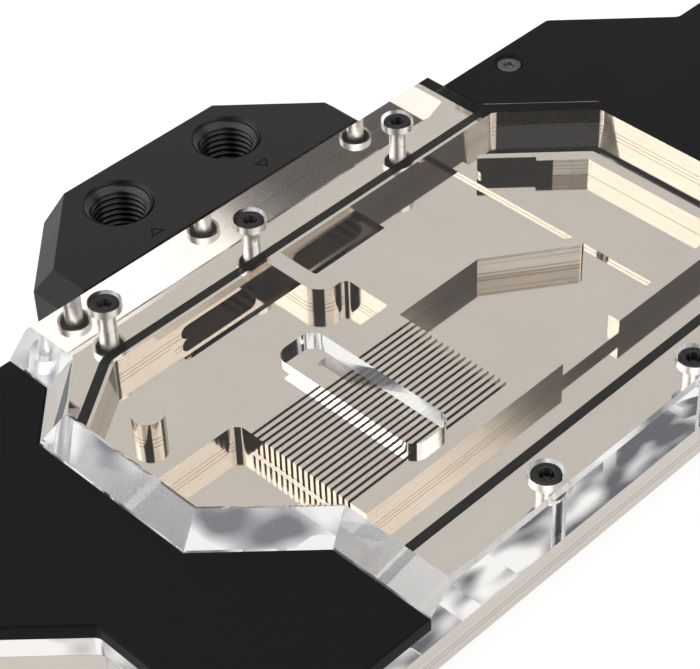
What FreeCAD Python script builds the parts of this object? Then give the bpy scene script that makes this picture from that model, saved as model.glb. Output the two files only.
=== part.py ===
import FreeCAD, Part
import math
import os
from FreeCAD import Vector

# Full-cover water block for a graphics card.
# A plated metal base plate carries milled channels, a field of fine fins and a seal groove.
# A clear stepped cover closes them, two dark plates lie on the cover's flange,
# and a terminal block with two G1/4 ports is screwed to the rear.
# The origin is the centre of the face that presses on the chip. X runs along the card,
# Y to the rear with the ports, Z up through the clear cover. All sizes are millimetres.

# Heights
pad_height = 1.0
base_thick = 6.9
flange_thick = 4.2
plate_thick = 3.0
cover_thick = 12.2
terminal_height = 18.0

# Outline of the base plate, measured from the chip's centre
body_front = 41.0
body_rear = 57.0
body_left = 100.5
body_right = 149.5
notch_x = 68.4
notch_rise = 37.8
shoulder_x = 130.4
shoulder_drop = 20.1
corner_radius = 2.0

# Top face of the clear cover: its sides step outwards at 45 degrees
cover_front_left = 25.5
cover_left = 43.0
cover_rear_left = 32.8
cover_rear_right = 72.3
cover_right = 89.5
cover_left_step = 24.3
cover_left_shoulder = 75.1
cover_right_shoulder = 66.4
plate_gap = 0.1
edge_break = 0.4

# Wet pocket in the base plate and the seal round it
wet_front = 25.2
wet_rear = 43.6
wet_left = 53.5
wet_right = 93.8
wet_corner = 15.7
wet_slant_x = 24.5
wet_slant_slope = 0.681
wet_radius = 2.5
floor_depth = 4.7
shallow_depth = 3.8
port_pocket_depth = 5.7
port_pocket_length = 3.5
port_pocket_left = -12.0
port_pocket_right = 40.5
port_ramp = 2.0
shallow_start = 62.5
seal_lip = 0.7
seal_width = 2.0
seal_depth = 1.5
seal_clearance = 0.1

# Field of fins under the jet slot
fin_left = 20.2
fin_right = 20.1
fin_front = 16.4
fin_rear = 17.8
fin_slot_count = 18
fin_slot_middle = -0.3
fin_pitch = 1.4
fin_slot_width = 0.6
fin_slot_depth = 4.2
jet_width = 9.9
jet_front = 13.1
jet_rear = 22.0
jet_depth = 3.9
jet_corner = 3.0

# Ribs that guide the flow
rib_width = 2.6
left_rib_width = 2.1
left_rib_round = 2.3
middle_rib_width = 3.5
middle_rib_end = 41.5
vane_width = 2.5
vane_run = 17.0
vane_drop = 12.2
side_rib_x = 80.8
side_rib_turn = 19.5
side_rib_slant = 15.2
side_rib_step = 1.2
side_rib_step_length = 10.5
pillar_radius = 3.15
sill_depth = 2.8
sill_left = 30.5
sill_length = 15.8
divider_left = 13.8
divider_width = 3.7
divider_round = 6.0
island_left = 20.5
island_right = 36.0
island_front = 17.0
island_rear = 33.5
island_radius = 1.5

# Outlets through the rear wall, the gasket and the terminal block with its ports
outlet_width = 19.0
outlet_height = 3.1
outlet_starts = [-8.5, 20.5]
gasket_thick = 1.0
gasket_margin = 1.0
gasket_window = 0.3
terminal_left = 22.9
terminal_right = 56.9
terminal_depth = 25.1
terminal_corner = 14.6
terminal_chamfer = 4.0
ports = [2.7, 31.2]
port_setback = 15.0
port_radius = 5.7225
port_mouth_radius = 7.2

# Screws: M3 socket heads for the cover and the terminal, countersunk for the plates
screw_radius = 1.45
thread_radius = 1.5
clearance_radius = 1.7
head_radius = 2.75
head_height = 3.0
counterbore_radius = 3.25
counterbore_depth = 3.4
hex_width = 2.5
hex_depth = 1.6
shank_sides = 12
sunk_head_radius = 2.85
sunk_head_height = 1.4
sunk_head_set = 0.4
sunk_head_sides = 24
sunk_hex_width = 2.0
sunk_hex_depth = 0.9
cover_screw_length = 14.0
plate_screw_length = 12.0
terminal_screw_length = 12.0
terminal_screw_grip = 6.0
thread_end_gap = 0.6
screw_margin = 6.0
front_screw_margin = 4.9
front_screw_first = 2.9
front_screw_pitch = 39.5
rear_screws = [(-19.1, 5.2), (15.8, 7.2), (57.6, 6.1)]
right_plate_rear_screw = 92.8
terminal_screws = [-15.0, 47.0]
terminal_screw_height = 3.0

# Underside: chip pad, board bosses on the chip's bolt square, memory and supply pads
chip_pad = 40.0
bolt_square = 58.4
boss_radius = 3.5
boss_thread_radius = 1.25
boss_thread_depth = 5.0
memory_pad_width = 13.0
memory_pad_gap = 3.2
memory_pad_recess = 0.4
supply_pad_width = 12.0
supply_pad_x = 68.0

# Levels worked out from the heights
base_low = pad_height
base_top = base_low + base_thick
flange_top = base_top + flange_thick
plate_top = flange_top + plate_thick
cover_top = base_top + cover_thick
terminal_top = base_low + terminal_height
cover_bevel = cover_top - plate_top
slant_45 = math.tan(math.radians(22.5))
outlet_low = base_top - port_pocket_depth
terminal_front = body_rear + gasket_thick
terminal_rear = body_rear + gasket_thick + terminal_depth
port_y = body_rear + gasket_thick + port_setback
overshoot = 1.0


def outline(corners):
    """Closed wire through (x, y, radius) corners, each rounded by a tangent arc."""
    edges = []
    points = [Vector(x, y, 0) for x, y, radius in corners]
    joints = []
    for index, (x, y, radius) in enumerate(corners):
        here = points[index]
        back = (points[index - 1] - here).normalize()
        ahead = (points[(index + 1) % len(points)] - here).normalize()
        if radius == 0:
            joints.append((here, here, here))
            continue
        half = back.getAngle(ahead) / 2
        reach = radius / math.tan(half)
        inward = (back + ahead).normalize()
        middle = here + inward * (radius / math.sin(half) - radius)
        joints.append((here + back * reach, middle, here + ahead * reach))
    for index, (start, middle, end) in enumerate(joints):
        if start != end:
            edges.append(Part.Arc(start, middle, end).toShape())
        following = joints[(index + 1) % len(joints)][0]
        if end.distanceToPoint(following) > 1e-6:
            edges.append(Part.makeLine(end, following))
    return Part.Wire(edges)


def prism(wire, low, high):
    """Solid between two heights over a flat closed wire."""
    return Part.Face(wire).translated(Vector(0, 0, low)).extrude(Vector(0, 0, high - low))


def polygon(points, low, high, radius=0.0):
    """Prism over straight sides, with every corner rounded by the same radius."""
    return prism(outline([(x, y, radius) for x, y in points]), low, high)


def block(x_low, x_high, y_low, y_high, z_low, z_high):
    """Box between its lowest and highest coordinates."""
    return Part.makeBox(x_high - x_low, y_high - y_low, z_high - z_low, Vector(x_low, y_low, z_low))


def rod(x, y, low, high, radius):
    """Upright cylinder between two heights."""
    return Part.makeCylinder(radius, high - low, Vector(x, y, low))


def regular_corners(sides, radius, height):
    """Corners of a regular polygon on a circle round the Z axis, with the first one again at the end."""
    turns = [2 * math.pi * (k % sides) / sides for k in range(sides + 1)]
    return [Vector(radius * math.cos(turn), radius * math.sin(turn), height) for turn in turns]


def regular_prism(sides, radius, low, high):
    """Upright prism over a regular polygon."""
    face = Part.Face(Part.makePolygon(regular_corners(sides, radius, low)))
    return face.extrude(Vector(0, 0, high - low))


def sunk_cone(depth):
    """Cone of a countersunk head, upwards from its lower end, with flat sides because it is repeated."""
    slope = (sunk_head_radius - screw_radius) / sunk_head_height
    lower = regular_corners(sunk_head_sides, screw_radius, 0)
    upper = regular_corners(sunk_head_sides, screw_radius + slope * depth, depth)
    rings = [lower, upper]
    for k in range(sunk_head_sides):
        rings.append([lower[k], lower[k + 1], upper[k + 1], upper[k], lower[k]])
    return Part.Solid(Part.Shell([Part.Face(Part.makePolygon(ring)) for ring in rings]))


def shank(low, high):
    """Threaded length of an M3 screw, with a few flat sides because it is repeated and hidden."""
    return regular_prism(shank_sides, screw_radius, low, high)


def shank_hole(x, y, low, high, radius):
    """Hole round a shank, with the same flat sides, which clears a circle of the radius."""
    reach = radius / math.cos(math.pi / shank_sides)
    return regular_prism(shank_sides, reach, low, high).translated(Vector(x, y, 0))


def level_shank_hole(x, y_low, y_high, z, radius):
    """The same hole lying along Y."""
    hole = shank_hole(0, 0, 0, y_high - y_low, radius)
    hole.rotate(Vector(0, 0, 0), Vector(1, 0, 0), -90)
    return hole.translated(Vector(x, y_low, z))


def rib(points, width, low, high):
    """Wall of constant width along a centre line, with rounded ends and turns."""
    wall = rod(*points[0], low, high, width / 2)
    for (x, y), (next_x, next_y) in zip(points, points[1:]):
        length = math.hypot(next_x - x, next_y - y)
        angle = math.degrees(math.atan2(next_y - y, next_x - x))
        run = block(0, length, -width / 2, width / 2, low, high)
        run.rotate(Vector(0, 0, 0), Vector(0, 0, 1), angle)
        wall = wall.fuse([run.translated(Vector(x, y, 0)), rod(next_x, next_y, low, high, width / 2)])
    return wall.removeSplitter()


def obround(x_low, x_high, y_low, y_high, z_low, z_high):
    """Flat slot that runs along Y, with fully rounded left and right ends."""
    radius = (z_high - z_low) / 2
    middle = (z_high + z_low) / 2
    slot = block(x_low + radius, x_high - radius, y_low, y_high, z_low, z_high)
    for x in (x_low + radius, x_high - radius):
        slot = slot.fuse(Part.makeCylinder(radius, y_high - y_low, Vector(x, y_low, middle), Vector(0, 1, 0)))
    return slot.removeSplitter()


def top_edges(solid, height, keep):
    """Straight edges at one height whose middle passes the test."""
    found = []
    for edge in solid.Edges:
        middle = edge.CenterOfMass
        level = abs(edge.BoundBox.ZMin - height) < 1e-6 and abs(edge.BoundBox.ZMax - height) < 1e-6
        if level and keep(middle):
            found.append(edge)
    return found


def hexagon(across, low, high):
    """Hexagonal prism, for the socket of a screw."""
    return regular_prism(6, across / math.sqrt(3), low, high)


def body_outline(inset=0.0):
    """Outline shared by the base plate, the clear flange and the dark plates."""
    notch_y = notch_rise - body_front
    slant = body_left - notch_x
    shoulder_y = body_rear - shoulder_drop
    corners = [
        (-notch_x, -body_front), (body_right, -body_front), (body_right, shoulder_y),
        (shoulder_x, shoulder_y), (shoulder_x - shoulder_drop, body_rear), (-body_left, body_rear),
        (-body_left, notch_y + slant), (-notch_x, notch_y),
    ]
    wire = outline([(x, y, corner_radius) for x, y in corners])
    return wire.makeOffset2D(-inset) if inset else wire


def cover_corners(out, reach=0.0):
    """Corners of the raised cover, moved out on its stepped sides and, by reach, at front and rear."""
    bend = out * slant_45
    front = -body_front
    left_step = front + cover_left_step
    left_turn = left_step + cover_left - cover_front_left
    left_shoulder = front + cover_left_shoulder
    left_neck = left_shoulder + cover_left - cover_rear_left
    right_shoulder = front + cover_right_shoulder
    right_neck = right_shoulder + cover_right - cover_rear_right
    return [
        (-cover_front_left - out, front - reach), (-cover_front_left - out, left_step - bend),
        (-cover_left - out, left_turn - bend), (-cover_left - out, left_shoulder + bend),
        (-cover_rear_left - out, left_neck + bend), (-cover_rear_left - out, body_rear + reach),
        (cover_rear_right + out, body_rear + reach), (cover_rear_right + out, right_neck + bend),
        (cover_right + out, right_shoulder + bend), (cover_right + out, front - reach),
    ]


def wet_outline(out=0.0):
    """Edge of the wet pocket, or a line at a distance outside it."""
    slant_fall = (wet_left - wet_slant_x) * wet_slant_slope
    corners = [
        (-wet_left, -wet_front), (wet_right, -wet_front), (wet_right, wet_rear - wet_corner),
        (wet_right - wet_corner, wet_rear), (-wet_slant_x, wet_rear), (-wet_left, wet_rear - slant_fall),
    ]
    wire = outline([(x, y, wet_radius) for x, y in corners])
    return wire.makeOffset2D(out) if out else wire


def front_screw_places():
    """Screws along the front of the clear cover."""
    return [(front_screw_first + k * front_screw_pitch, front_screw_margin - body_front) for k in range(3)]


def rear_screw_places():
    """Screws along the rear of the clear cover, set in from its rear face."""
    return [(x, body_rear - margin) for x, margin in rear_screws]


def left_plate_screw_places():
    """Screws near the outer corners of the left plate."""
    return [
        (-notch_x + screw_margin, screw_margin - body_front),
        (-body_left + screw_margin, body_rear - screw_margin),
    ]


def right_plate_screw_places():
    """Screws near the corners of the right plate."""
    return [
        (right_plate_rear_screw, body_rear - front_screw_margin),
        (body_right - screw_margin, screw_margin - body_front),
        (body_right - screw_margin, body_rear - shoulder_drop - screw_margin),
    ]


def bolt_places():
    """Corners of the square of bolts round the chip."""
    half = bolt_square / 2
    return [(x, y) for x in (-half, half) for y in (-half, half)]


def raised_parts(low):
    """Walls and islands that stand in the wet pocket up to the cover."""
    top = base_top
    fins = block(-fin_left, fin_right, -fin_front, fin_rear, low, top)
    left_rib_face = fin_rear - left_rib_width
    left_rib = block(-wet_left - overshoot, -fin_left, left_rib_face, fin_rear, low, top)
    inner_x = -fin_left - left_rib_round
    inner_y = left_rib_face - left_rib_round
    inner_round = block(inner_x, -fin_left, inner_y, left_rib_face, low, top)
    inner_round = inner_round.cut(rod(inner_x, inner_y, low, top, left_rib_round))
    front_rib_y = -fin_front + rib_width / 2
    front_rib = block(fin_right, side_rib_x, front_rib_y - rib_width / 2, front_rib_y + rib_width / 2, low, top)
    sill = block(sill_left, sill_left + sill_length, -fin_front - overshoot,
                 -fin_front + rib_width + overshoot, top - sill_depth, top + overshoot)
    middle_y = island_front + overshoot - middle_rib_width / 2
    middle_rib = block(fin_right, middle_rib_end, middle_y - middle_rib_width / 2,
                       middle_y + middle_rib_width / 2, low, top)
    vane = rib([(middle_rib_end, middle_y), (middle_rib_end + vane_run, middle_y - vane_drop)],
               vane_width, low, top)
    slant_end = (side_rib_x - side_rib_slant, side_rib_turn + side_rib_slant)
    side_rib = rib([(side_rib_x, front_rib_y), (side_rib_x, side_rib_turn), slant_end], rib_width, low, top)
    pillar = rod(-bolt_square / 2, bolt_square / 2, low, top, pillar_radius)
    return [
        fins, left_rib, inner_round, front_rib.cut(sill), middle_rib, vane,
        side_rib.cut(side_rib_sill(slant_end)), pillar, divider(low, top),
    ]


def side_rib_sill(slant_end):
    """Step along the front of the side rib's slanted end, as deep as the sill of the front rib."""
    face = -rib_width / 2
    step = block(-rib_width, side_rib_step_length, face - overshoot, face + side_rib_step,
                 base_top - sill_depth, base_top + overshoot)
    step.rotate(Vector(0, 0, 0), Vector(0, 0, 1), -45)
    return step.translated(Vector(*slant_end, 0))


def divider(low, high):
    """Wall between the two port chambers, which widens into the island over a bolt."""
    corners = [
        (divider_left, wet_rear + overshoot, 0),
        (divider_left, island_rear - divider_round + island_radius, divider_round - island_radius),
        (island_left, island_rear - divider_round + island_radius, island_radius),
        (island_left, island_front, 0),
        (island_right, island_front, 0),
        (island_right, island_rear, island_radius),
        (divider_left + divider_width, island_rear, island_radius),
        (divider_left + divider_width, wet_rear + overshoot, 0),
    ]
    return prism(outline(corners), low, high)


def port_pocket(x_low, x_high):
    """Deeper floor in front of an outlet, with a ramp up to the main floor."""
    deep = base_top - port_pocket_depth
    shallow = base_top - floor_depth
    rear = wet_rear
    start = rear - port_pocket_length
    side = [(rear, deep), (start, deep), (start - port_ramp, shallow), (rear, shallow)]
    face = Part.Face(Part.makePolygon([Vector(x_low, y, z) for y, z in side + side[:1]]))
    return face.extrude(Vector(x_high - x_low, 0, 0))


def wet_pocket():
    """Space that the channels take out of the base plate."""
    high = base_top + overshoot
    whole = prism(wet_outline(), base_top - floor_depth, high)
    shallow_floor = polygon([
        (shallow_start, -fin_front), (side_rib_x, -fin_front), (side_rib_x, side_rib_turn),
        (side_rib_x - side_rib_slant, side_rib_turn + side_rib_slant),
        (side_rib_x - side_rib_slant, wet_rear + overshoot), (shallow_start, wet_rear + overshoot),
    ], base_top - floor_depth - overshoot, base_top - shallow_depth)
    pockets = port_pocket(port_pocket_left, divider_left)
    pockets = pockets.fuse(port_pocket(divider_left + divider_width, port_pocket_right))
    pocket = whole.cut(shallow_floor).fuse(pockets)
    for part in raised_parts(base_low):
        pocket = pocket.cut(part)
    return pocket


def fin_slots():
    """Narrow slots that turn the raised field into fins."""
    first = fin_slot_middle - (fin_slot_count - 1) * fin_pitch / 2
    slots = []
    for k in range(fin_slot_count):
        y = first + k * fin_pitch
        slots.append(block(-fin_left - overshoot, fin_right + overshoot, y - fin_slot_width / 2,
                           y + fin_slot_width / 2, base_top - fin_slot_depth, base_top + overshoot))
    return slots


def seal_ring(inner, outer, low, high):
    """Closed ring round the wet pocket."""
    return prism(wet_outline(outer), low, high).cut(prism(wet_outline(inner), low - overshoot, high + overshoot))


def underside():
    """Raised faces under the base plate that meet the board, the chip and its neighbours."""
    half = chip_pad / 2
    solids = [block(-half, half, -half, half, 0, base_low)]
    for x, y in bolt_places():
        solids.append(rod(x, y, 0, base_low, boss_radius))
    inner = half + memory_pad_gap
    outer = inner + memory_pad_width
    for side in (-1, 1):
        near, far = sorted((side * inner, side * outer))
        solids.append(block(near, far, -half, half, memory_pad_recess, base_low))
    solids.append(block(-half, half, -outer, -inner, memory_pad_recess, base_low))
    solids.append(block(supply_pad_x, supply_pad_x + supply_pad_width, -half, half, memory_pad_recess, base_low))
    return solids


def base_plate():
    """Plated metal base with its channels, fins, seal groove, outlets and tapped holes."""
    solid = prism(body_outline(), base_low, base_top)
    solid = solid.fuse(underside()).removeSplitter()
    solid = solid.cut(wet_pocket())
    groove_low = base_top - seal_depth
    solid = solid.cut(seal_ring(seal_lip, seal_lip + seal_width, groove_low, base_top + overshoot))
    tools = fin_slots()
    for start in outlet_starts:
        tools.append(obround(start, start + outlet_width, wet_rear - overshoot, body_rear + overshoot,
                             outlet_low, outlet_low + outlet_height))
    cover_reach = cover_screw_length - (cover_thick - counterbore_depth) + thread_end_gap
    for x, y in front_screw_places() + rear_screw_places():
        tools.append(shank_hole(x, y, base_top - cover_reach, base_top + overshoot, thread_radius))
    plate_reach = plate_screw_length + sunk_head_set - plate_thick - flange_thick + thread_end_gap
    for x, y in left_plate_screw_places() + right_plate_screw_places():
        tools.append(shank_hole(x, y, base_top - plate_reach, base_top + overshoot, thread_radius))
    for x, y in bolt_places():
        tools.append(rod(x, y, -overshoot, boss_thread_depth, boss_thread_radius))
    terminal_reach = terminal_screw_length - terminal_screw_grip - gasket_thick + thread_end_gap
    for x in terminal_screws:
        tools.append(level_shank_hole(x, body_rear - terminal_reach, body_rear + overshoot,
                                      base_low + terminal_screw_height, thread_radius))
    return solid.cut(tools)


def clear_cover():
    """Thick clear cover: a flange under the dark plates and a raised middle with bevelled sides."""
    flange = prism(body_outline(), base_top, flange_top)
    middle = polygon(cover_corners(cover_bevel), base_top, cover_top)
    faces_front = -body_front + 1e-3
    faces_rear = body_rear - 1e-3
    sides = top_edges(middle, cover_top, lambda p: faces_front < p.y < faces_rear)
    middle = middle.makeChamfer(cover_bevel, sides)
    solid = flange.fuse(middle).removeSplitter()
    tools = [jet_slot()]
    for x, y in front_screw_places() + rear_screw_places():
        tools.append(shank_hole(x, y, base_top - overshoot, cover_top, clearance_radius))
        tools.append(rod(x, y, cover_top - counterbore_depth, cover_top + overshoot, counterbore_radius))
    for x, y in left_plate_screw_places() + right_plate_screw_places():
        tools.append(shank_hole(x, y, base_top - overshoot, cover_top, clearance_radius))
    return solid.cut(tools)


def jet_slot():
    """Recess under the cover that leads the water over the middle of the fins."""
    half = jet_width / 2
    corners = [(-half, -jet_front), (half, -jet_front), (half, jet_rear), (-half, jet_rear)]
    return polygon(corners, base_top - overshoot, base_top + jet_depth, jet_corner)


def main_seal():
    """Rubber cord pressed flat between its groove and the cover."""
    return seal_ring(seal_lip + seal_clearance, seal_lip + seal_width - seal_clearance,
                     base_top - seal_depth, base_top)


def dark_plates():
    """Left and right plates on the flange, cut out round the raised middle of the cover."""
    sheet = prism(body_outline(), flange_top, plate_top)
    sheet = sheet.cut(polygon(cover_corners(cover_bevel + plate_gap, overshoot), flange_top - overshoot,
                              plate_top + overshoot))
    left, right = sorted(sheet.Solids, key=lambda solid: solid.CenterOfMass.x)
    finished = []
    for solid, places in ((left, left_plate_screw_places()), (right, right_plate_screw_places())):
        solid = solid.makeChamfer(edge_break, top_edges(solid, plate_top, lambda p: True))
        for x, y in places:
            solid = solid.cut(shank_hole(x, y, flange_top - overshoot, plate_top, clearance_radius))
            seat = sunk_cone(sunk_head_height + sunk_head_set)
            solid = solid.cut(seat.translated(Vector(x, y, plate_top - sunk_head_height - sunk_head_set)))
        finished.append(solid)
    return finished


def terminal_block():
    """Block behind the cover with two ports, joined to the outlets by a slot each."""
    front = terminal_front
    rear = terminal_rear
    corners = [
        (-terminal_left, front), (terminal_right, front), (terminal_right, rear - terminal_corner),
        (terminal_right - terminal_corner, rear), (-terminal_left + terminal_corner, rear),
        (-terminal_left, rear - terminal_corner),
    ]
    solid = polygon(corners, base_low, terminal_top)
    faces_front = front + 1e-3
    faces_rear = rear - 1e-3
    sides = top_edges(solid, terminal_top, lambda p: faces_front < p.y < faces_rear)
    solid = solid.makeChamfer(terminal_chamfer, sides)
    mouth = port_mouth_radius - port_radius
    tools = []
    for x, start in zip(ports, outlet_starts):
        tools.append(rod(x, port_y, outlet_low, terminal_top + overshoot, port_radius))
        tools.append(Part.makeCone(port_radius, port_mouth_radius, mouth, Vector(x, port_y, terminal_top - mouth)))
        tools.append(obround(start, start + outlet_width, front - overshoot, port_y,
                             outlet_low, outlet_low + outlet_height))
    for x in terminal_screws:
        z = base_low + terminal_screw_height
        seat = front + terminal_screw_grip
        tools.append(level_shank_hole(x, front - overshoot, seat + overshoot, z, clearance_radius))
        tools.append(Part.makeCylinder(counterbore_radius, terminal_depth, Vector(x, seat, z), Vector(0, 1, 0)))
    return solid.cut(tools)


def terminal_gasket():
    """Flat rubber gasket between the rear face and the terminal block."""
    left = -terminal_left + gasket_margin
    right = terminal_right - gasket_margin
    solid = block(left, right, body_rear, terminal_front, base_low + gasket_window, terminal_top - terminal_chamfer)
    tools = []
    for start in outlet_starts:
        tools.append(block(start - gasket_window, start + outlet_width + gasket_window,
                           body_rear - overshoot, terminal_front + overshoot,
                           outlet_low - gasket_window, outlet_low + outlet_height + gasket_window))
    for x in terminal_screws:
        tools.append(level_shank_hole(x, body_rear - overshoot, terminal_front + overshoot,
                                      base_low + terminal_screw_height, clearance_radius))
    return solid.cut(tools)


def cap_screw(length):
    """Socket head screw along Z with its head's seat at height zero."""
    solid = shank(-length, 0).fuse(rod(0, 0, 0, head_height, head_radius))
    return solid.cut(hexagon(hex_width, head_height - hex_depth, head_height + overshoot))


def sunk_screw():
    """Countersunk screw along Z with the top of its head at height zero."""
    head = sunk_cone(sunk_head_height).translated(Vector(0, 0, -sunk_head_height))
    solid = shank(-plate_screw_length, -sunk_head_height).fuse(head)
    return solid.cut(hexagon(sunk_hex_width, -sunk_hex_depth, overshoot))


def nodes():
    """Every piece by its name, in place."""
    left_plate, right_plate = dark_plates()
    pieces = {
        "base_plate": base_plate(),
        "clear_cover": clear_cover(),
        "main_seal": main_seal(),
        "left_plate": left_plate,
        "right_plate": right_plate,
        "terminal_block": terminal_block(),
        "terminal_gasket": terminal_gasket(),
    }
    seat = cover_top - counterbore_depth
    for row, places in (("front", front_screw_places()), ("rear", rear_screw_places())):
        for number, (x, y) in enumerate(places, 1):
            pieces[f"cover_screw_{row}_{number}"] = cap_screw(cover_screw_length).translated(Vector(x, y, seat))
    for row, places in (("left", left_plate_screw_places()), ("right", right_plate_screw_places())):
        for number, (x, y) in enumerate(places, 1):
            screw = sunk_screw().translated(Vector(x, y, plate_top - sunk_head_set))
            pieces[f"plate_screw_{row}_{number}"] = screw
    for number, x in enumerate(terminal_screws, 1):
        screw = cap_screw(terminal_screw_length)
        screw.rotate(Vector(0, 0, 0), Vector(1, 0, 0), -90)
        place = Vector(x, terminal_front + terminal_screw_grip, base_low + terminal_screw_height)
        pieces[f"terminal_screw_{number}"] = screw.translated(place)
    return pieces


def write(pieces):
    """One STEP file per piece."""
    os.makedirs("parts", exist_ok=True)
    for name, solid in pieces.items():
        if solid.ShapeType == "Compound" and len(solid.Solids) == 1:
            solid = solid.Solids[0]
        solid.exportStep(f"parts/{name}.step")
        size = solid.BoundBox
        print(name, len(solid.Solids), solid.isValid(), round(solid.Volume, 2),
              [round(v, 2) for v in (size.XMin, size.XMax, size.YMin, size.YMax, size.ZMin, size.ZMax)])


write(nodes())
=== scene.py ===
"""Looks of the water block: camera, light, materials and the fine detail that the solids leave out."""
import bmesh
import bpy
import math
from mathutils import Matrix, Vector


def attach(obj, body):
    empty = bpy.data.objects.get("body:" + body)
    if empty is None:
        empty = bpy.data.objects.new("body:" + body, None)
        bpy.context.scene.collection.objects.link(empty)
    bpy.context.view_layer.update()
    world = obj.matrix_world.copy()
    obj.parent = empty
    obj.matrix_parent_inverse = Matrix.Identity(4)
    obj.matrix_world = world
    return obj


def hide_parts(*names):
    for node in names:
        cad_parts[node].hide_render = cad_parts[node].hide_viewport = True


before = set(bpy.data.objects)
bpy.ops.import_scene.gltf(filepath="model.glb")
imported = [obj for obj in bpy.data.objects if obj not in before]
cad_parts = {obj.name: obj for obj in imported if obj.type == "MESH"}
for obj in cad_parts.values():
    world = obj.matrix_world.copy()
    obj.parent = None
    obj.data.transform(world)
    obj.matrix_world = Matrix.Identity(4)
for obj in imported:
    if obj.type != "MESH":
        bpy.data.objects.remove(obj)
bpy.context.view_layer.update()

MM = 0.001
UP = (0.0, 0.0, 1.0)
EVEN = (1, 1, 1)
UNIT = (0.0, 1.0)

# Camera, in millimetres and degrees, from the straight edges of the photograph
CAMERA_PLACE = (-203.33, -204.56, 288.64)
CAMERA_HEADING = 43.76
CAMERA_DOWN = 41.76
CAMERA_ROLL = -2.28
CAMERA_LENS = 115.58
CAMERA_SHIFT = 0.0043
SENSOR_WIDTH = 36.0
CLIP_START = 10.0
CLIP_END = 20000.0

# Lamps that point at the block: place and width in metres, power in watts
LAMPS = [
    ("left_softbox", (-0.7, 0.72, 0.9), 0.6, 1.5),
    ("overhead_softbox", (0.1, 0.1, 1.4), 1.2, 3.0),
]

# Surroundings: a level for each patch of the sky, bounded by (direction, outer cosine, inner cosine).
# Later patches lie over earlier ones.
SKY_LEVEL = 0.93
SKY_PATCHES = [
    (1.05, [(UP, 0.85, 0.95)]),
    (2.05, [((-0.52, 0.54, 0.66), 0.80, 0.88)]),
    (1.7, [((0.0, -0.75, 0.66), 0.84, 0.93)]),
    (2.2, [((0.52, -0.54, 0.66), 0.90, 0.96)]),
    (0.16, [((0.52, -0.54, 0.66), 0.86, 0.94), ((0.8071, 0.0526, -0.5881), -0.004, 0.014)]),
    (0.035, [((-0.63, -0.41, 0.66), 0.915, 0.94)]),
]

# Floor under the block: half width and place in metres, and how it shows as white
FLOOR_HALF = 6.0
FLOOR_PLACE = -0.2 * MM
FLOOR_COLOR = (0.9, 0.9, 0.9)
FLOOR_ROUGHNESS = 0.9
FLOOR_VEIL = 0.85
FLOOR_GLOW = 1.03

# Colours, linear
NICKEL = (0.62, 0.565, 0.505)
BLACK_PLATE = (0.0062, 0.0056, 0.0058)
BLACK_TERMINAL = (0.0048, 0.0036, 0.0032)
RUBBER = (0.005, 0.0045, 0.0045)
BLACK_STEEL = (0.035, 0.033, 0.033)
GREY_STEEL = (0.10, 0.098, 0.10)
WHITE = (1.0, 1.0, 1.0)

# Noises in object space: scale, stretch along the axes, detail. Most of their values lie in NOISE_SPAN.
MILLING_LINES = (900, (0.012, 0.012, 3.0), 3.0)
MILLING_SWIRL = (1100, (1.0, 0.05, 1.0), 2.0)
NICKEL_CLOUD = (45, EVEN, 3.0)
GLINT_CLOUD = (70, (1.0, 1.0, 0.8), 1.0)
GLOSS_CLOUD = (70, EVEN, 2.0)
TURNING_RINGS = (1500, (1, 1, 0.2), 2.0)
GRAIN_DETAIL = 4.0
NOISE_SPAN = (0.3, 0.7)

# Nickel plating. Walls keep milling lines, floors a faint swirl, and the ribs' sides coarser lines.
PLATED_ROUGHNESS = 0.1
CLOUD_ROUGHNESS = (0.05, 0.09)
RIB_ROUGHNESS = 0.2
UPRIGHT_TILT = (0.2, 0.5)
CLOUD_SHADE = 0.95
# Darkening of the milling lines and of the painted shade at the foot of the walls
LINE_AND_PAINTED_SHADE = 0.4
LINE_SHARE = (0.0, 0.2)
LINE_SPAN = (0.5, 0.75)
RIB_LINE_SHARE = (0.0, 0.5)
RIB_LINE_SPAN = (0.45, 0.65)
WALL_RELIEF = 0.8
RIB_RELIEF = 3.0
FLOOR_RELIEF = 0.25
NICKEL_BUMP = (0.12, 0.02 * MM)
RIB_LIGHT = (0.95, 0.88, 0.8)
# Colour of the ribs' milling lines and of the painted shade at their foot
RIB_LINE_AND_PAINTED_SHADE = (0.3, 0.26, 0.23)
RIB_MATT = 0.6

# Sides of the vane and of the side rib's step: the way they face, and bounds in millimetres
# on x (left), on x + y (vane end, step end) and on x - y (step start)
RIB_SIDE = (-0.7071, -0.7071, 0.0)
RIB_SIDE_MATCH = 0.9
RIB_LEFT = 36.0
VANE_END = 70.0
STEP_END = 110.0
STEP_START = 50.5

# Painted shade at the foot of the pocket's walls, by the distance from a floor
FOOT_SHADE = (0.7, 0.0)
FOOT_SPAN = (0.04 * MM, 0.2 * MM)

# Clear acrylic: its shaders, the dull holes and the satin of its slanted faces
ACRYLIC = (0.985, 0.985, 0.98)
ACRYLIC_IOR = 1.49
DRILLED_ROUGHNESS = 0.32
CALM_FRESNEL = 0.2
CALM_SHARE = 0.7
LAMP_PASS = (0.9, 0.9, 0.9)
SATIN = (0.72, 0.75, 0.8)
SATIN_SHARE = 0.14
SATIN_TILT = (0.2, 0.93)

# Light that was mirrored more often than MIRROR_LIMIT ends in a painted glow for what longer paths would
# bring: a plain level in the nickel, and painted glints in the clear cover, in clouds between a darker and
# a lighter level
MIRROR_LIMIT = 3.5
DEEP_NICKEL = 0.25
GLINT_SPAN = (0.38, 0.60)
GLINT_DARK = (0.12, 0.12, 0.135)
GLINT_LIGHT = (0.92, 0.91, 0.89)

# Dark finishes and steel: spread of the roughness, shade of the grain, bump strength and depth
GLOSS_SPREAD = (0.85, 1.15)
GRAIN_SHADE = 1.35
GRAIN_BUMP = (0.15, 0.005 * MM)
STEEL_SPREAD = (0.8, 1.3)
STEEL_BUMP = (0.15, 0.01 * MM)

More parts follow.
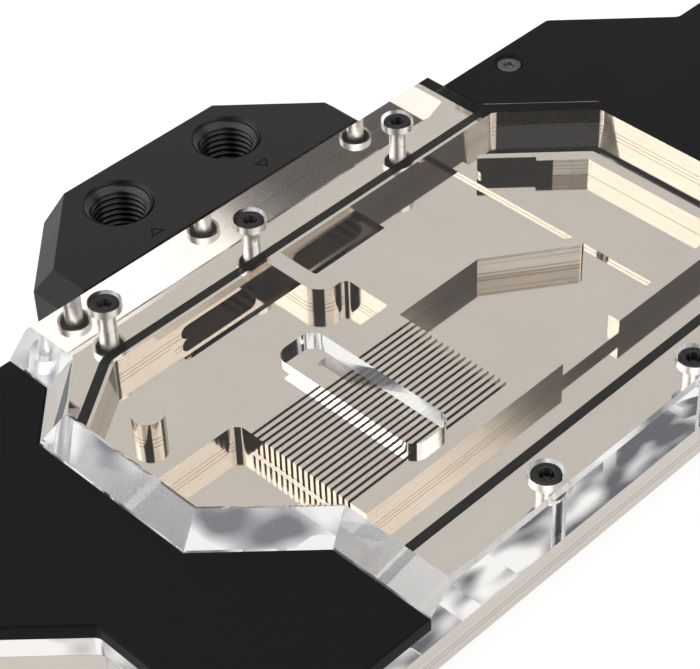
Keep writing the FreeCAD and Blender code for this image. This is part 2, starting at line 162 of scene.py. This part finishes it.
# Heights of the solids, in millimetres
FLOORS = (3.2, 4.1)
COVER_TOP = 20.1
PLATE_TOP = 15.1
TERMINAL_TOP = 19.0

# Clear cover: gap round it, broken edges, and the edges and hole walls that are picked by millimetres,
# degrees and cosines
AIR_GAP = 0.02 * MM
EDGE_BREAK = 0.25 * MM
EDGE_CHAMFER = 0.7 * MM
WELD = 0.001 * MM
FLAT_LIMIT = 0.5
SAME_WAY = 0.9
EDGE_ANGLE = 30
EDGE_DEPTH = 0.2
SHORTEST_EDGE = 3
HOLE_REACH = 3.6
WALL_TILT = 0.5

# Shading: faces that stay flat, and the angles of creases in degrees
WIDE_FACE = 25 * MM * MM
CREASE = 40.0
TURNED_CREASE = 25.0

# Ports and their threads, in millimetres
PORTS = [(2.7, 73.0), (31.2, 73.0)]
THREAD_TOP = 18.7
THREAD_MOUTH = 17.5
THREAD_LOW = 5.8
THREAD_PITCH = 1.337
THREAD_CREST = 5.12
THREAD_ROOT = 5.7
THREAD_FLAT = 1.25
THREAD_STEPS = 72
THREAD_ROWS = 10
MOUTH_RADIUS = 7.2
MOUTH_GAP = 0.03
MOUTH_SHARE = 0.5

# Engraved triangles by the ports, in millimetres: (x, y, way), with way 1 to the rear. Their colour is the
# block's, darkened by MARK_SHADE.
FLOW_MARKS = [(1.7, 61.1, 1), (30.4, 61.5, -1)]
MARK_OUTER = [(-1.7, -0.9), (1.7, -0.9), (0.0, 1.5)]
MARK_INNER = [(-1.0, -0.55), (1.0, -0.55), (0.0, 0.86)]
MARK_RISE = 0.012
MARK_SHADE = 0.6

# Screws, in millimetres: shanks, socket heads in the cover, and countersunk heads in the plates.
# The shoulder and the break are given as (how far in, how far down).
SHANK_RADIUS = 1.45
SHANK_FILLET = 0.1
FILLET_DROP = 0.02
COVER_SHANK = 14.0
PLATE_SHANK = 12.0
HEAD_SEAT = 16.7
HEAD_RADIUS = 2.75
HEAD_HEIGHT = 3.0
HEAD_FOOT = 0.1
HEAD_ROUNDING = 0.3
HEAD_SHOULDER = (0.06, 0.1)
SUNK_RADIUS = 2.55
SUNK_HEIGHT = 1.4
SUNK_SET = 0.4
SUNK_RIM = 0.16
SUNK_BREAK = (0.08, 0.06)
ROUND_STEPS = 48
ROUND = "round"
HEXAGON = "hexagon"

# Screw sockets: radii of the mouth, the corners and the drill point, then the depths of the hexagon's
# start, its end and the point
HEAD_SOCKET = (1.6, 1.44, 0.2, 0.12, 1.6, 1.9)
SUNK_SOCKET = (1.3, 1.155, 0.1, 0.1, 0.9, 1.1)


def add_camera():
    """Camera at the photograph's place and angle."""
    data = bpy.data.cameras.new("camera")
    data.lens = CAMERA_LENS
    data.sensor_width = SENSOR_WIDTH
    data.shift_x = CAMERA_SHIFT
    data.clip_start = CLIP_START * MM
    data.clip_end = CLIP_END * MM
    camera = bpy.data.objects.new("camera", data)
    bpy.context.scene.collection.objects.link(camera)
    heading = Matrix.Rotation(math.radians(-CAMERA_HEADING), 4, "Z")
    tilt = Matrix.Rotation(math.radians(90 - CAMERA_DOWN), 4, "X")
    roll = Matrix.Rotation(math.radians(CAMERA_ROLL), 4, "Z")
    camera.matrix_world = Matrix.Translation(Vector(CAMERA_PLACE) * MM) @ heading @ tilt @ roll
    bpy.context.scene.camera = camera


def add_light(name, place, size, power):
    """Square area lamp that points at the block."""
    data = bpy.data.lights.new(name, "AREA")
    data.size = size
    data.energy = power
    lamp = bpy.data.objects.new(name, data)
    lamp.location = place
    lamp.rotation_euler = (-Vector(place)).to_track_quat("-Z", "Y").to_euler()
    bpy.context.scene.collection.objects.link(lamp)


def feed(tree, value, socket):
    """Gives a socket another node's output, a colour or a number."""
    if isinstance(value, bpy.types.NodeSocket):
        tree.links.new(value, socket)
    elif isinstance(value, tuple):
        socket.default_value = (*value, 1)
    else:
        socket.default_value = value


def math_node(tree, operation, *values):
    """Result of one operation on numbers, each a constant or another node's output."""
    node = tree.nodes.new("ShaderNodeMath")
    node.operation = operation
    for value, socket in zip(values, node.inputs):
        feed(tree, value, socket)
    return node.outputs["Value"]


def product(tree, first, *others):
    """Product of numbers."""
    for other in others:
        first = math_node(tree, "MULTIPLY", first, other)
    return first


def total(tree, first, second):
    """Sum of two numbers."""
    return math_node(tree, "ADD", first, second)


def complement(tree, value):
    """1 less a number."""
    return math_node(tree, "SUBTRACT", 1.0, value)


def remap(tree, source, result, span=NOISE_SPAN):
    """Maps a number from its span to the range of the result, and holds it at the range's ends."""
    node = tree.nodes.new("ShaderNodeMapRange")
    node.inputs["From Min"].default_value, node.inputs["From Max"].default_value = span
    node.inputs["To Min"].default_value, node.inputs["To Max"].default_value = result
    tree.links.new(source, node.inputs["Value"])
    return node.outputs["Result"]


def mix_colors(tree, factor, first, second):
    """Colour between two others by a factor."""
    node = tree.nodes.new("ShaderNodeMix")
    node.data_type = "RGBA"
    feed(tree, first, node.inputs["A"])
    feed(tree, second, node.inputs["B"])
    tree.links.new(factor, node.inputs["Factor"])
    return node.outputs["Result"]


def scaled(values, factor):
    """A colour or a range, times a factor."""
    return tuple(factor * value for value in values)


def new_material(name):
    """Empty node material with its output."""
    material = bpy.data.materials.new(name)
    material.use_nodes = True
    tree = material.node_tree
    tree.nodes.clear()
    output = tree.nodes.new("ShaderNodeOutputMaterial")
    return material, tree, output


def principled(tree, color, roughness, metallic=0.0, **sockets):
    """Principled shader with its constants set on its own sockets."""
    shader = tree.nodes.new("ShaderNodeBsdfPrincipled")
    shader.inputs["Base Color"].default_value = (*color, 1)
    shader.inputs["Roughness"].default_value = roughness
    shader.inputs["Metallic"].default_value = metallic
    for name, value in sockets.items():
        shader.inputs[name.replace("_", " ")].default_value = value
    return shader


def plain_shader(tree, kind, color, **sockets):
    """Output of a shader of one kind, with its colour and other sockets."""
    shader = tree.nodes.new(f"ShaderNode{kind}")
    feed(tree, color, shader.inputs["Color"])
    for name, value in sockets.items():
        feed(tree, value, shader.inputs[name])
    return shader.outputs[0]


def blend_shaders(tree, factor, first, second):
    """Shader between two others by a factor."""
    mix = tree.nodes.new("ShaderNodeMixShader")
    tree.links.new(factor, mix.inputs["Fac"])
    tree.links.new(first, mix.inputs[1])
    tree.links.new(second, mix.inputs[2])
    return mix.outputs["Shader"]


def bump(tree, source, shader, strength, distance):
    """Bump on a shader's normal."""
    node = tree.nodes.new("ShaderNodeBump")
    node.inputs["Strength"].default_value = strength
    node.inputs["Distance"].default_value = distance
    tree.links.new(source, node.inputs["Height"])
    tree.links.new(node.outputs["Normal"], shader.inputs["Normal"])


def light_path(tree, fact):
    """What is known of a ray: 1 where it is of the named kind, or how often it was mirrored."""
    return tree.nodes.new("ShaderNodeLightPath").outputs[fact]


def deep_ray(tree):
    """1 for light that has been mirrored more often than the limit, else 0."""
    return math_node(tree, "GREATER_THAN", light_path(tree, "Glossy Depth"), MIRROR_LIMIT)


def object_place(tree):
    """Place on the surface in object space."""
    return tree.nodes.new("ShaderNodeTexCoord").outputs["Object"]


def object_axes(tree):
    """The same place along x, y and z, in metres."""
    split = tree.nodes.new("ShaderNodeSeparateXYZ")
    tree.links.new(object_place(tree), split.inputs["Vector"])
    return [split.outputs[axis] for axis in "XYZ"]


def object_noise(tree, scale, stretch, detail):
    """Noise in object space, stretched along the axes."""
    mapping = tree.nodes.new("ShaderNodeMapping")
    mapping.inputs["Scale"].default_value = stretch
    noise = tree.nodes.new("ShaderNodeTexNoise")
    noise.inputs["Scale"].default_value = scale
    noise.inputs["Detail"].default_value = detail
    tree.links.new(object_place(tree), mapping.inputs["Vector"])
    tree.links.new(mapping.outputs["Vector"], noise.inputs["Vector"])
    return noise.outputs["Fac"]


def cosine(tree, vector, direction):
    """Cosine between a unit vector and a direction."""
    dot = tree.nodes.new("ShaderNodeVectorMath")
    dot.operation = "DOT_PRODUCT"
    dot.inputs[1].default_value = direction
    tree.links.new(vector, dot.inputs[0])
    return dot.outputs["Value"]


def facing(tree, direction):
    """Cosine between the surface's true normal and a direction."""
    geometry = tree.nodes.new("ShaderNodeNewGeometry")
    return cosine(tree, geometry.outputs["True Normal"], direction)


def upward_tilt(tree):
    """1 on level faces, 0 on walls."""
    return math_node(tree, "ABSOLUTE", facing(tree, UP))


def milled_ribs(tree):
    """1 on the slanted inner ribs, whose sides keep coarse milling lines, else 0."""
    x, y, _ = object_axes(tree)
    across = total(tree, x, y)
    along = math_node(tree, "SUBTRACT", x, y)
    slanted = math_node(tree, "GREATER_THAN", facing(tree, RIB_SIDE), RIB_SIDE_MATCH)
    vane = math_node(tree, "LESS_THAN", across, VANE_END * MM)
    before_end = math_node(tree, "LESS_THAN", across, STEP_END * MM)
    after_start = math_node(tree, "GREATER_THAN", along, STEP_START * MM)
    step = product(tree, before_end, after_start)
    right = math_node(tree, "GREATER_THAN", x, RIB_LEFT * MM)
    return product(tree, slanted, math_node(tree, "MAXIMUM", vane, step), right)


def wall_foot(tree):
    """Painted shade of the narrow band where a wall of the pocket meets its floor, 0 elsewhere."""
    height = object_axes(tree)[2]
    shade = None
    for floor in FLOORS:
        apart = math_node(tree, "ABSOLUTE", math_node(tree, "SUBTRACT", height, floor * MM))
        near = remap(tree, apart, FOOT_SHADE, FOOT_SPAN)
        shade = near if shade is None else math_node(tree, "MAXIMUM", near, shade)
    return shade


def nickel_material():
    """Bright nickel plating over fine milling marks, with a painted shade at the foot of its walls and a
    painted glow for light mirrored past the limit.
    """
    material, tree, output = new_material("nickel_plating")
    shader = principled(tree, NICKEL, PLATED_ROUGHNESS, metallic=1.0)
    upright = remap(tree, upward_tilt(tree), (1.0, 0.0), UPRIGHT_TILT)
    lines = object_noise(tree, *MILLING_LINES)
    swirl = object_noise(tree, *MILLING_SWIRL)
    cloud = object_noise(tree, *NICKEL_CLOUD)
    ribs = milled_ribs(tree)

    smooth = remap(tree, cloud, CLOUD_ROUGHNESS)
    roughness = total(tree, smooth, product(tree, ribs, RIB_ROUGHNESS))
    tree.links.new(roughness, shader.inputs["Roughness"])

    # Painted shade at the foot of the walls, darkened together with the milling lines
    foot = product(tree, wall_foot(tree), upright)
    wall_lines = remap(tree, lines, LINE_SHARE, LINE_SPAN)
    rib_lines = product(tree, ribs, remap(tree, lines, RIB_LINE_SHARE, RIB_LINE_SPAN))
    streaks = product(tree, total(tree, wall_lines, rib_lines), upright)
    lines_and_painted_shade = math_node(tree, "MAXIMUM", foot, streaks)
    shades = mix_colors(tree, remap(tree, cloud, UNIT), NICKEL, scaled(NICKEL, CLOUD_SHADE))
    lines_and_painted_shade_color = mix_colors(tree, lines_and_painted_shade, shades, scaled(NICKEL, LINE_AND_PAINTED_SHADE))
    tree.links.new(lines_and_painted_shade_color, shader.inputs["Base Color"])

    relief = total(tree, product(tree, ribs, RIB_RELIEF), WALL_RELIEF)
    walls = product(tree, lines, product(tree, upright, relief))
    floors = product(tree, swirl, complement(tree, upright), FLOOR_RELIEF)
    bump(tree, total(tree, walls, floors), shader, *NICKEL_BUMP)

    # The ribs' matt sides take the darker colour on their lines and in the painted shade at their foot
    matt = plain_shader(tree, "BsdfDiffuse", mix_colors(tree, lines_and_painted_shade, RIB_LIGHT, RIB_LINE_AND_PAINTED_SHADE))
    body = blend_shaders(tree, product(tree, ribs, RIB_MATT), shader.outputs["BSDF"], matt)
    # Painted glow: light mirrored past the limit ends in a plain level of the nickel's colour
    deep = plain_shader(tree, "Emission", scaled(NICKEL, DEEP_NICKEL))
    tree.links.new(blend_shaders(tree, deep_ray(tree), body, deep), output.inputs["Surface"])
    return material


def clear_material():
    """Polished clear acrylic. Lamps shine through it, so the channels aren't left in the dark."""
    material, tree, output = new_material("clear_acrylic")
    drilled = tree.nodes.new("ShaderNodeAttribute")
    drilled.attribute_name = "drilled"
    dull = product(tree, drilled.outputs["Fac"], DRILLED_ROUGHNESS)
    glass = principled(tree, ACRYLIC, 0.0, Transmission_Weight=1.0, IOR=ACRYLIC_IOR)
    tree.links.new(dull, glass.inputs["Roughness"])

    # Seen straight on, part of the light goes through with no mirror image
    bent = plain_shader(tree, "BsdfRefraction", ACRYLIC, Roughness=dull, IOR=ACRYLIC_IOR)
    fresnel = tree.nodes.new("ShaderNodeFresnel")
    fresnel.inputs["IOR"].default_value = ACRYLIC_IOR
    straight = math_node(tree, "LESS_THAN", fresnel.outputs["Fac"], CALM_FRESNEL)
    body = blend_shaders(tree, product(tree, straight, CALM_SHARE), glass.outputs["BSDF"], bent)

    # Slanted faces have a thin satin veil on their outer side
    tilt = upward_tilt(tree)
    slanted = product(tree, math_node(tree, "GREATER_THAN", tilt, SATIN_TILT[0]),
                      math_node(tree, "LESS_THAN", tilt, SATIN_TILT[1]))
    inner_side = tree.nodes.new("ShaderNodeNewGeometry").outputs["Backfacing"]
    veil = product(tree, slanted, complement(tree, inner_side), SATIN_SHARE)
    body = blend_shaders(tree, veil, body, plain_shader(tree, "BsdfDiffuse", SATIN))

    open_to_lamps = plain_shader(tree, "BsdfTransparent", LAMP_PASS)
    lit = blend_shaders(tree, light_path(tree, "Is Shadow Ray"), body, open_to_lamps)
    # Painted glints: light mirrored past the limit glows in clouds between a darker and a lighter level
    cloud = remap(tree, object_noise(tree, *GLINT_CLOUD), UNIT, GLINT_SPAN)
    glints = plain_shader(tree, "Emission", mix_colors(tree, cloud, GLINT_DARK, GLINT_LIGHT))
    tree.links.new(blend_shaders(tree, deep_ray(tree), lit, glints), output.inputs["Surface"])
    return material


def dark_material(name, color, roughness, grain, gloss):
    """Dark surface with a fine grain and slight clouds in its gloss."""
    material, tree, output = new_material(name)
    shader = principled(tree, color, roughness, Specular_IOR_Level=gloss)
    fine = object_noise(tree, grain, EVEN, GRAIN_DETAIL)
    spread = remap(tree, object_noise(tree, *GLOSS_CLOUD), scaled(GLOSS_SPREAD, roughness))
    tree.links.new(spread, shader.inputs["Roughness"])
    shades = mix_colors(tree, remap(tree, fine, UNIT), color, scaled(color, GRAIN_SHADE))
    tree.links.new(shades, shader.inputs["Base Color"])
    bump(tree, fine, shader, *GRAIN_BUMP)
    tree.links.new(shader.outputs["BSDF"], output.inputs["Surface"])
    return material


def screw_material(name, color, roughness):
    """Steel with faint turning rings."""
    material, tree, output = new_material(name)
    shader = principled(tree, color, roughness, metallic=1.0)
    fine = object_noise(tree, *TURNING_RINGS)
    tree.links.new(remap(tree, fine, scaled(STEEL_SPREAD, roughness)), shader.inputs["Roughness"])
    bump(tree, fine, shader, *STEEL_BUMP)
    tree.links.new(shader.outputs["BSDF"], output.inputs["Surface"])
    return material


def backdrop_material():
    """Floor that is seen as white, in metal and glass too, apart from the object's faint shadow."""
    material, tree, output = new_material("pale_floor")
    shader = principled(tree, FLOOR_COLOR, FLOOR_ROUGHNESS, Specular_IOR_Level=0.0)
    through = math_node(
        tree, "MAXIMUM", light_path(tree, "Is Glossy Ray"), light_path(tree, "Is Transmission Ray"))
    white = math_node(tree, "MAXIMUM", light_path(tree, "Is Camera Ray"), through)
    glow = plain_shader(tree, "Emission", WHITE, Strength=FLOOR_GLOW)
    seen = blend_shaders(tree, product(tree, white, FLOOR_VEIL), shader.outputs["BSDF"], glow)
    tree.links.new(seen, output.inputs["Surface"])
    return material


def add_world():
    """Pale surroundings with patches, as the photo's mirrored walls show them. The camera sees white."""
    world = bpy.data.worlds.new("world")
    bpy.context.scene.world = world
    world.use_nodes = True
    tree = world.node_tree
    background = tree.nodes["Background"]
    background.inputs["Color"].default_value = (*WHITE, 1)
    way = tree.nodes.new("ShaderNodeTexCoord").outputs["Generated"]
    level = SKY_LEVEL
    for brightness, bounds in SKY_PATCHES:
        shares = [remap(tree, cosine(tree, way, Vector(direction).normalized()), UNIT, (outer, inner))
                  for direction, outer, inner in bounds]
        change = product(tree, product(tree, *shares), math_node(tree, "SUBTRACT", brightness, level))
        level = total(tree, change, level)
    white = product(tree, light_path(tree, "Is Camera Ray"), complement(tree, level))
    tree.links.new(total(tree, level, white), background.inputs["Strength"])


def add_floor():
    """Wide pale floor under the board side of the block."""
    mesh = bpy.data.meshes.new("floor")
    corners = [(FLOOR_HALF * x, FLOOR_HALF * y, 0) for x, y in ((-1, -1), (1, -1), (1, 1), (-1, 1))]
    mesh.from_pydata(corners, [], [(0, 1, 2, 3)])
    mesh.materials.append(backdrop_material())
    floor = bpy.data.objects.new("floor", mesh)
    floor.location.z = FLOOR_PLACE
    bpy.context.scene.collection.objects.link(floor)


def paint(node, material):
    """Gives every slot of a node one material."""
    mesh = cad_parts[node].data
    mesh.materials.clear()
    mesh.materials.append(material)


def add_piece(name, mesh, material, replaced=()):
    """Puts a piece of the scene on the block."""
    mesh.materials.clear()
    mesh.materials.append(material)
    piece = bpy.data.objects.new(name, mesh)
    bpy.context.scene.collection.objects.link(piece)
    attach(piece, "root")
    if replaced:
        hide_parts(*replaced)


def node_middle(name):
    """Middle of a node's box in plan, in millimetres."""
    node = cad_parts[name]
    corners = [node.matrix_world @ Vector(corner) for corner in node.bound_box]
    low = [min(c[axis] for c in corners) for axis in (0, 1)]
    high = [max(c[axis] for c in corners) for axis in (0, 1)]
    return [(a + b) / 2 / MM for a, b in zip(low, high)]


def shade_smooth(form, crease=CREASE):
    """Smooth faces with sharp creases above an angle in degrees and round wide faces, which stay flat."""
    for face in form.faces:
        face.smooth = True
    for edge in form.edges:
        narrow = max(face.calc_area() for face in edge.link_faces) < WIDE_FACE
        edge.smooth = narrow and math.degrees(edge.calc_face_angle(0.0)) < crease


def draw_in(form):
    """Moves each corner of a mesh inwards by the air gap from every plane that meets there."""
    for vertex in form.verts:
        planes = []
        for face in vertex.link_faces:
            if all(face.normal.dot(normal) < SAME_WAY for normal in planes):
                planes.append(face.normal.copy())
        vertex.co -= sum(planes, Vector((0, 0, 0))) * AIR_GAP


def top_edges(form):
    """Outer edges of the cover's top: those along its front and rear, and the others."""
    long_edges = []
    others = []
    for edge in form.edges:
        if len(edge.link_faces) != 2 or edge.calc_face_angle_signed(0.0) < math.radians(EDGE_ANGLE):
            continue
        lowest = min(v.co.z for v in edge.verts)
        if lowest > (COVER_TOP - EDGE_DEPTH) * MM and edge.calc_length() > SHORTEST_EDGE * MM:
            upright = all(abs(face.normal.y) > SAME_WAY or face.normal.z > SAME_WAY
                          for face in edge.link_faces)
            (long_edges if upright else others).append(edge)
    return long_edges, others


def mark_holes(form):
    """Face attribute of 1 on the walls of the cover's screw holes, which are duller."""
    holes = [node_middle(name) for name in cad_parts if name.startswith("cover_screw")]
    drilled = form.faces.layers.float.new("drilled")
    for face in form.faces:
        middle = face.calc_center_median() / MM
        near = min(math.dist(middle[:2], hole) for hole in holes) < HOLE_REACH
        face[drilled] = 1.0 if near and abs(face.normal.z) < WALL_TILT else 0.0


def add_cover(material):
    """Copy of the clear cover with polished edges, and with a thin gap of air round it for the light."""
    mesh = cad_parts["clear_cover"].data.copy()
    form = bmesh.new()
    form.from_mesh(mesh)
    bmesh.ops.remove_doubles(form, verts=form.verts, dist=WELD)
    bmesh.ops.dissolve_limit(form, angle_limit=math.radians(FLAT_LIMIT), verts=form.verts, edges=form.edges)
    form.normal_update()
    draw_in(form)
    long_edges, others = top_edges(form)
    bmesh.ops.bevel(form, geom=long_edges, offset=EDGE_CHAMFER, segments=1, affect="EDGES")
    others = [edge for edge in others if edge.is_valid]
    bmesh.ops.bevel(form, geom=others, offset=EDGE_BREAK, segments=2, affect="EDGES", profile=0.5)
    form.normal_update()
    mark_holes(form)
    shade_smooth(form)
    form.to_mesh(mesh)
    form.free()
    add_piece("clear_cover_body", mesh, material, ["clear_cover"])


def ring_stack(rings, place):
    """Turned and closed mesh through rings of (radius, height, shape), at a place in millimetres."""
    form = bmesh.new()
    loops = []
    for radius, height, shape in rings:
        loop = []
        for k in range(ROUND_STEPS):
            turn = 2 * math.pi * k / ROUND_STEPS
            reach = radius
            if shape == HEXAGON:
                reach = radius * math.cos(math.pi / 6) / math.cos((turn % (math.pi / 3)) - math.pi / 6)
            spot = Vector((reach * math.cos(turn), reach * math.sin(turn), height)) + Vector(place)
            loop.append(form.verts.new(spot * MM))
        loops.append(loop)
    for lower, upper in zip(loops, loops[1:]):
        for k in range(ROUND_STEPS):
            after = (k + 1) % ROUND_STEPS
            form.faces.new((lower[k], lower[after], upper[after], upper[k]))
    form.faces.new(list(reversed(loops[0])))
    form.faces.new(loops[-1])
    shade_smooth(form, TURNED_CREASE)
    mesh = bpy.data.meshes.new("turned")
    form.to_mesh(mesh)
    form.free()
    return mesh


def socket_rings(top, mouth, corner, point, start, end, bottom):
    """Rings of a hexagon socket, from its round mouth down to its drill point."""
    return [
        (mouth, top, ROUND), (corner, top - start, HEXAGON), (corner, top - end, HEXAGON),
        (point, top - bottom, ROUND),
    ]


def add_screws(black, grey):
    """Round screws with broken edges and deep sockets in place of the light ones of the solids."""
    cap = [
        (SHANK_RADIUS, -COVER_SHANK, ROUND),
        (SHANK_RADIUS, -FILLET_DROP, ROUND),
        (SHANK_RADIUS + SHANK_FILLET, 0.0, ROUND),
        (HEAD_RADIUS - HEAD_FOOT, 0.0, ROUND),
        (HEAD_RADIUS, HEAD_FOOT, ROUND),
        (HEAD_RADIUS, HEAD_HEIGHT - HEAD_ROUNDING, ROUND),
        (HEAD_RADIUS - HEAD_SHOULDER[0], HEAD_HEIGHT - HEAD_SHOULDER[1], ROUND),
        (HEAD_RADIUS - HEAD_ROUNDING, HEAD_HEIGHT, ROUND),
        *socket_rings(HEAD_HEIGHT, *HEAD_SOCKET),
    ]
    sunk = [
        (SHANK_RADIUS, -PLATE_SHANK, ROUND),
        (SHANK_RADIUS, -SUNK_HEIGHT, ROUND),
        (SUNK_RADIUS, -SUNK_RIM, ROUND),
        (SUNK_RADIUS, -SUNK_BREAK[1], ROUND),
        (SUNK_RADIUS - SUNK_BREAK[0], 0.0, ROUND),
        *socket_rings(0.0, *SUNK_SOCKET),
    ]
    kinds = {
        "cover_screw": (cap, HEAD_SEAT, black),
        "plate_screw": (sunk, PLATE_TOP - SUNK_SET, grey),
    }
    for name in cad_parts:
        for kind, (rings, seat, material) in kinds.items():
            if name.startswith(kind):
                mesh = ring_stack(rings, (*node_middle(name), seat))
                add_piece(f"{name}_round", mesh, material, [name])


def thread_depth(height):
    """How far the thread stands in from the wall at a height: crests with flats between round roots."""
    share = (height / THREAD_PITCH) % 1.0
    wave = 0.5 + 0.5 * math.cos(2 * math.pi * share)
    return (THREAD_ROOT - THREAD_CREST) * min(1.0, THREAD_FLAT * wave)


def thread_reach(height, step):
    """Radius of the thread at a height and a step round the port. It runs out in the port's mouth."""
    depth = thread_depth(height - THREAD_PITCH * step / THREAD_STEPS)
    if height > THREAD_MOUTH:
        return MOUTH_RADIUS - (TERMINAL_TOP - height) - MOUTH_GAP - MOUTH_SHARE * depth
    return THREAD_ROOT - depth


def add_threads(material):
    """Helical thread on the wall of each port."""
    rows = int((THREAD_TOP - THREAD_LOW) / THREAD_PITCH * THREAD_ROWS)
    for number, (x, y) in enumerate(PORTS, 1):
        points = []
        faces = []
        for row in range(rows + 1):
            height = THREAD_LOW + (THREAD_TOP - THREAD_LOW) * row / rows
            for k in range(THREAD_STEPS):
                turn = 2 * math.pi * k / THREAD_STEPS
                reach = thread_reach(height, k)
                points.append(Vector((x + reach * math.cos(turn), y + reach * math.sin(turn), height)) * MM)
                if row:
                    here = row * THREAD_STEPS + k
                    after = row * THREAD_STEPS + (k + 1) % THREAD_STEPS
                    faces.append((here, after, after - THREAD_STEPS, here - THREAD_STEPS))
        mesh = bpy.data.meshes.new("thread")
        mesh.from_pydata(points, [], faces)
        mesh.shade_smooth()
        add_piece(f"port_thread_{number}", mesh, material)


def add_flow_marks(material):
    """Small engraved triangle outlines by the ports: one points to its port and one away from it."""
    for number, (x, y, way) in enumerate(FLOW_MARKS, 1):
        points = [Vector((x + dx, y + way * dy, TERMINAL_TOP + MARK_RISE)) * MM
                  for dx, dy in MARK_OUTER + MARK_INNER]
        faces = []
        for k in range(3):
            after = (k + 1) % 3
            face = (k, after, 3 + after, 3 + k)
            faces.append(face if way > 0 else tuple(reversed(face)))
        mesh = bpy.data.meshes.new("mark")
        mesh.from_pydata(points, [], faces)
        add_piece(f"flow_mark_{number}", mesh, material)


bpy.context.scene.view_settings.view_transform = "Standard"
add_camera()
add_world()
add_floor()
for lamp in LAMPS:
    add_light(*lamp)

nickel = nickel_material()
plates = dark_material("black_anodised", BLACK_PLATE, roughness=0.42, grain=7000, gloss=0.05)
terminal = dark_material("black_machined", BLACK_TERMINAL, roughness=0.34, grain=6000, gloss=0.21)
rubber = dark_material("black_rubber", RUBBER, roughness=0.7, grain=5000, gloss=0.03)
mark = dark_material("engraved_line", scaled(BLACK_TERMINAL, MARK_SHADE), roughness=0.6, grain=6000,
                     gloss=0.08)
black = screw_material("black_steel", BLACK_STEEL, roughness=0.3)
grey = screw_material("grey_steel", GREY_STEEL, roughness=0.35)
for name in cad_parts:
    if "screw" in name:
        paint(name, black)
paint("base_plate", nickel)
paint("left_plate", plates)
paint("right_plate", plates)
paint("terminal_block", terminal)
paint("terminal_gasket", rubber)
paint("main_seal", rubber)

add_cover(clear_material())
add_screws(black, grey)
add_threads(dark_material("black_thread", BLACK_TERMINAL, roughness=0.3, grain=6000, gloss=0.4))
add_flow_marks(mark)
